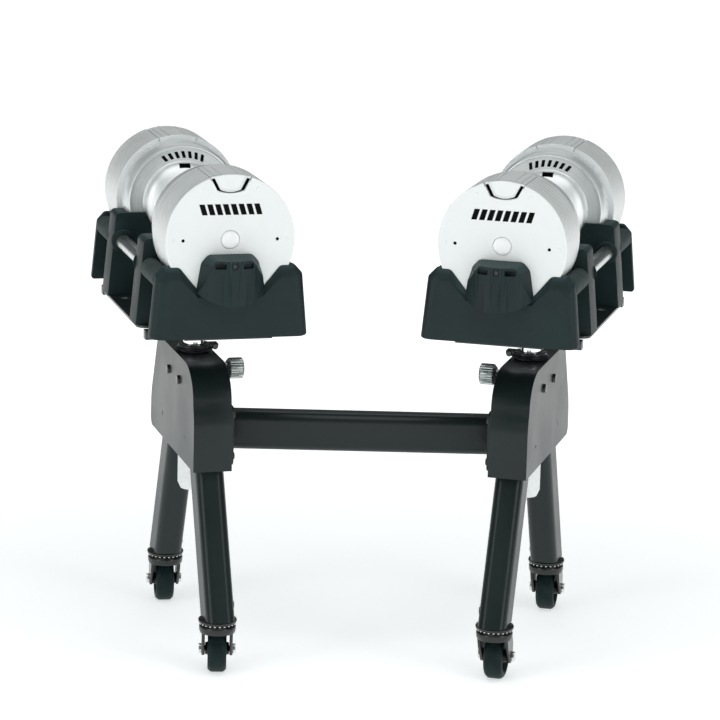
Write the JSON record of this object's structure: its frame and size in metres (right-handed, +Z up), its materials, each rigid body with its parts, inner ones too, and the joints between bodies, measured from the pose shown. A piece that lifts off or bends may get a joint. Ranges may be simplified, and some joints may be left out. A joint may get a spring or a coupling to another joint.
{
  "type": "adjustable dumbbell set",
  "caption": "Twist-grip adjustable dumbbells with silver plate stacks, docked in black cradles on a height-adjustable rolling stand.",
  "frame": {"origin": "on the floor, midway between the two columns", "axes": "+X from the left column to the right column as seen from the front, +Y to the rear, +Z up"},
  "size_m": [0.7868, 0.4844, 0.704],
  "materials": {
    "plate_silver": "satin silver coating",
    "hub_silver": "fine turned satin",
    "grip_steel": "fine diamond knurl",
    "bar_steel": "ground",
    "button_silver": "fine brushed disc",
    "cradle_plastic": "fine moulded texture",
    "sleeve_rubber": "ribbed matte",
    "rail_steel": "satin",
    "tray_black": "powder coat",
    "post_chrome": "polished",
    "guide_silver": "satin anodised",
    "collar_black": "semi-gloss",
    "knob_steel": "knurled",
    "stand_black": "semi-gloss powder coat",
    "bolt_black": "black zinc",
    "caster_black": "glossy black",
    "wheel_black": "smooth solid tread",
    "axle_steel": "zinc plated"
  },
  "bodies": {
    "stand": {"crossbar": "stand_black", "crossbar_flanges": "stand_black", "stand_bolts": "bolt_black", "caster_mounts": "caster_black", "housing_right": "stand_black", "housing_left": "stand_black", "guide_right": "guide_silver", "guide_left": "guide_silver", "collar_right": "collar_black", "collar_left": "collar_black", "leg_front_right": "stand_black", "leg_front_left": "stand_black", "leg_rear_right": "stand_black", "leg_rear_left": "stand_black"},
    "cradle_right": {"post_right": "post_chrome", "tray_right": "tray_black", "tray_bolts_right": "bolt_black", "end_wall_front_right": "cradle_plastic", "end_wall_rear_right": "cradle_plastic", "divider_front_right": "cradle_plastic", "divider_rear_right": "cradle_plastic", "rails_right": "rail_steel", "rail_sleeves_right": "sleeve_rubber"},
    "knob_right": {"knob_right": "knob_steel"},
    "dumbbell_right": {"plates_front_right": "plate_silver", "plates_rear_right": "plate_silver", "end_buttons_right": "button_silver", "hubs_right": "hub_silver"},
    "grip_right": {"grip_right": "grip_steel"},
    "lock_bar_front_right": {"lock_bar_front_right": "bar_steel"},
    "lock_bar_rear_right": {"lock_bar_rear_right": "bar_steel"},
    "cradle_left": {"post_left": "post_chrome", "tray_left": "tray_black", "tray_bolts_left": "bolt_black", "end_wall_front_left": "cradle_plastic", "end_wall_rear_left": "cradle_plastic", "divider_front_left": "cradle_plastic", "divider_rear_left": "cradle_plastic", "rails_left": "rail_steel", "rail_sleeves_left": "sleeve_rubber"},
    "knob_left": {"knob_left": "knob_steel"},
    "dumbbell_left": {"plates_front_left": "plate_silver", "plates_rear_left": "plate_silver", "end_buttons_left": "button_silver", "hubs_left": "hub_silver"},
    "grip_left": {"grip_left": "grip_steel"},
    "lock_bar_front_left": {"lock_bar_front_left": "bar_steel"},
    "lock_bar_rear_left": {"lock_bar_rear_left": "bar_steel"},
    "fork_front_left": {"fork_front_left": "caster_black", "axle_front_left": "axle_steel"},
    "wheel_front_left": {"wheel_front_left": "wheel_black"},
    "fork_front_right": {"fork_front_right": "caster_black", "axle_front_right": "axle_steel"},
    "wheel_front_right": {"wheel_front_right": "wheel_black"},
    "fork_rear_left": {"fork_rear_left": "caster_black", "axle_rear_left": "axle_steel"},
    "wheel_rear_left": {"wheel_rear_left": "wheel_black"},
    "fork_rear_right": {"fork_rear_right": "caster_black", "axle_rear_right": "axle_steel"},
    "wheel_rear_right": {"wheel_rear_right": "wheel_black"}
  },
  "joints": [
    {"name": "column_slide_right", "type": "slide", "parent": "stand", "child": "cradle_right", "axis": [0, 0, 1], "range_m": [0, 0.15]},
    {"name": "clamp_knob_right", "type": "hinge", "parent": "stand", "child": "knob_right", "pos_m": [0.235, 0, 0.392], "axis": [0.9668, -0.2554, 0], "range_deg": [0, 360]},
    {"name": "dumbbell_lift_right", "type": "slide", "parent": "cradle_right", "child": "dumbbell_right", "axis": [0, 0, 1], "range_m": [0, 0.3]},
    {"name": "grip_twist_right", "type": "hinge", "parent": "dumbbell_right", "child": "grip_right", "pos_m": [0.235, 0, 0.616], "axis": [0.2554, 0.9668, 0], "range_deg": [0, 180]},
    {"name": "lock_bar_front_slide_right", "type": "slide", "parent": "dumbbell_right", "child": "lock_bar_front_right", "axis": [0.2554, 0.9668, 0], "range_m": [0, 0.081]},
    {"name": "lock_bar_rear_slide_right", "type": "slide", "parent": "dumbbell_right", "child": "lock_bar_rear_right", "axis": [0.2554, 0.9668, 0], "range_m": [-0.081, 0]},
    {"name": "column_slide_left", "type": "slide", "parent": "stand", "child": "cradle_left", "axis": [0, 0, 1], "range_m": [0, 0.15]},
    {"name": "clamp_knob_left", "type": "hinge", "parent": "stand", "child": "knob_left", "pos_m": [-0.235, 0, 0.392], "axis": [-0.9668, -0.2554, 0], "range_deg": [0, 360]},
    {"name": "dumbbell_lift_left", "type": "slide", "parent": "cradle_left", "child": "dumbbell_left", "axis": [0, 0, 1], "range_m": [0, 0.3]},
    {"name": "grip_twist_left", "type": "hinge", "parent": "dumbbell_left", "child": "grip_left", "pos_m": [-0.235, 0, 0.616], "axis": [-0.2554, 0.9668, 0], "range_deg": [0, 180]},
    {"name": "lock_bar_front_slide_left", "type": "slide", "parent": "dumbbell_left", "child": "lock_bar_front_left", "axis": [-0.2554, 0.9668, 0], "range_m": [0, 0.081]},
    {"name": "lock_bar_rear_slide_left", "type": "slide", "parent": "dumbbell_left", "child": "lock_bar_rear_left", "axis": [-0.2554, 0.9668, 0], "range_m": [-0.081, 0]},
    {"name": "caster_swivel_front_left", "type": "hinge", "parent": "stand", "child": "fork_front_left", "pos_m": [-0.19004, -0.17016, 0.07], "axis": [0, 0, 1], "continuous": true},
    {"name": "wheel_roll_front_left", "type": "hinge", "parent": "fork_front_left", "child": "wheel_front_left", "pos_m": [-0.19074, -0.15017, 0.0325], "axis": [0.9994, 0.0349, 0], "continuous": true},
    {"name": "caster_swivel_front_right", "type": "hinge", "parent": "stand", "child": "fork_front_right", "pos_m": [0.19004, -0.17016, 0.07], "axis": [0, 0, 1], "continuous": true},
    {"name": "wheel_roll_front_right", "type": "hinge", "parent": "fork_front_right", "child": "wheel_front_right", "pos_m": [0.19488, -0.15076, 0.0325], "axis": [0.9703, -0.2419, 0], "continuous": true},
    {"name": "caster_swivel_rear_left", "type": "hinge", "parent": "stand", "child": "fork_rear_left", "pos_m": [-0.27996, 0.17016, 0.07], "axis": [0, 0, 1], "continuous": true},
    {"name": "wheel_roll_rear_left", "type": "hinge", "parent": "fork_rear_left", "child": "wheel_rear_left", "pos_m": [-0.28274, 0.18997, 0.0325], "axis": [0.9903, 0.1392, 0], "continuous": true},
    {"name": "caster_swivel_rear_right", "type": "hinge", "parent": "stand", "child": "fork_rear_right", "pos_m": [0.27996, 0.17016, 0.07], "axis": [0, 0, 1], "continuous": true},
    {"name": "wheel_roll_rear_right", "type": "hinge", "parent": "fork_rear_right", "child": "wheel_rear_right", "pos_m": [0.28412, 0.18972, 0.0325], "axis": [0.9781, -0.2079, 0], "continuous": true}
  ],
  "couplings": [
    {"joint": "lock_bar_front_slide_right", "follows": "grip_twist_right", "m_per_rad": 0.025465},
    {"joint": "lock_bar_rear_slide_right", "follows": "grip_twist_right", "m_per_rad": -0.025465},
    {"joint": "lock_bar_front_slide_left", "follows": "grip_twist_left", "m_per_rad": 0.025465},
    {"joint": "lock_bar_rear_slide_left", "follows": "grip_twist_left", "m_per_rad": -0.025465}
  ]
}
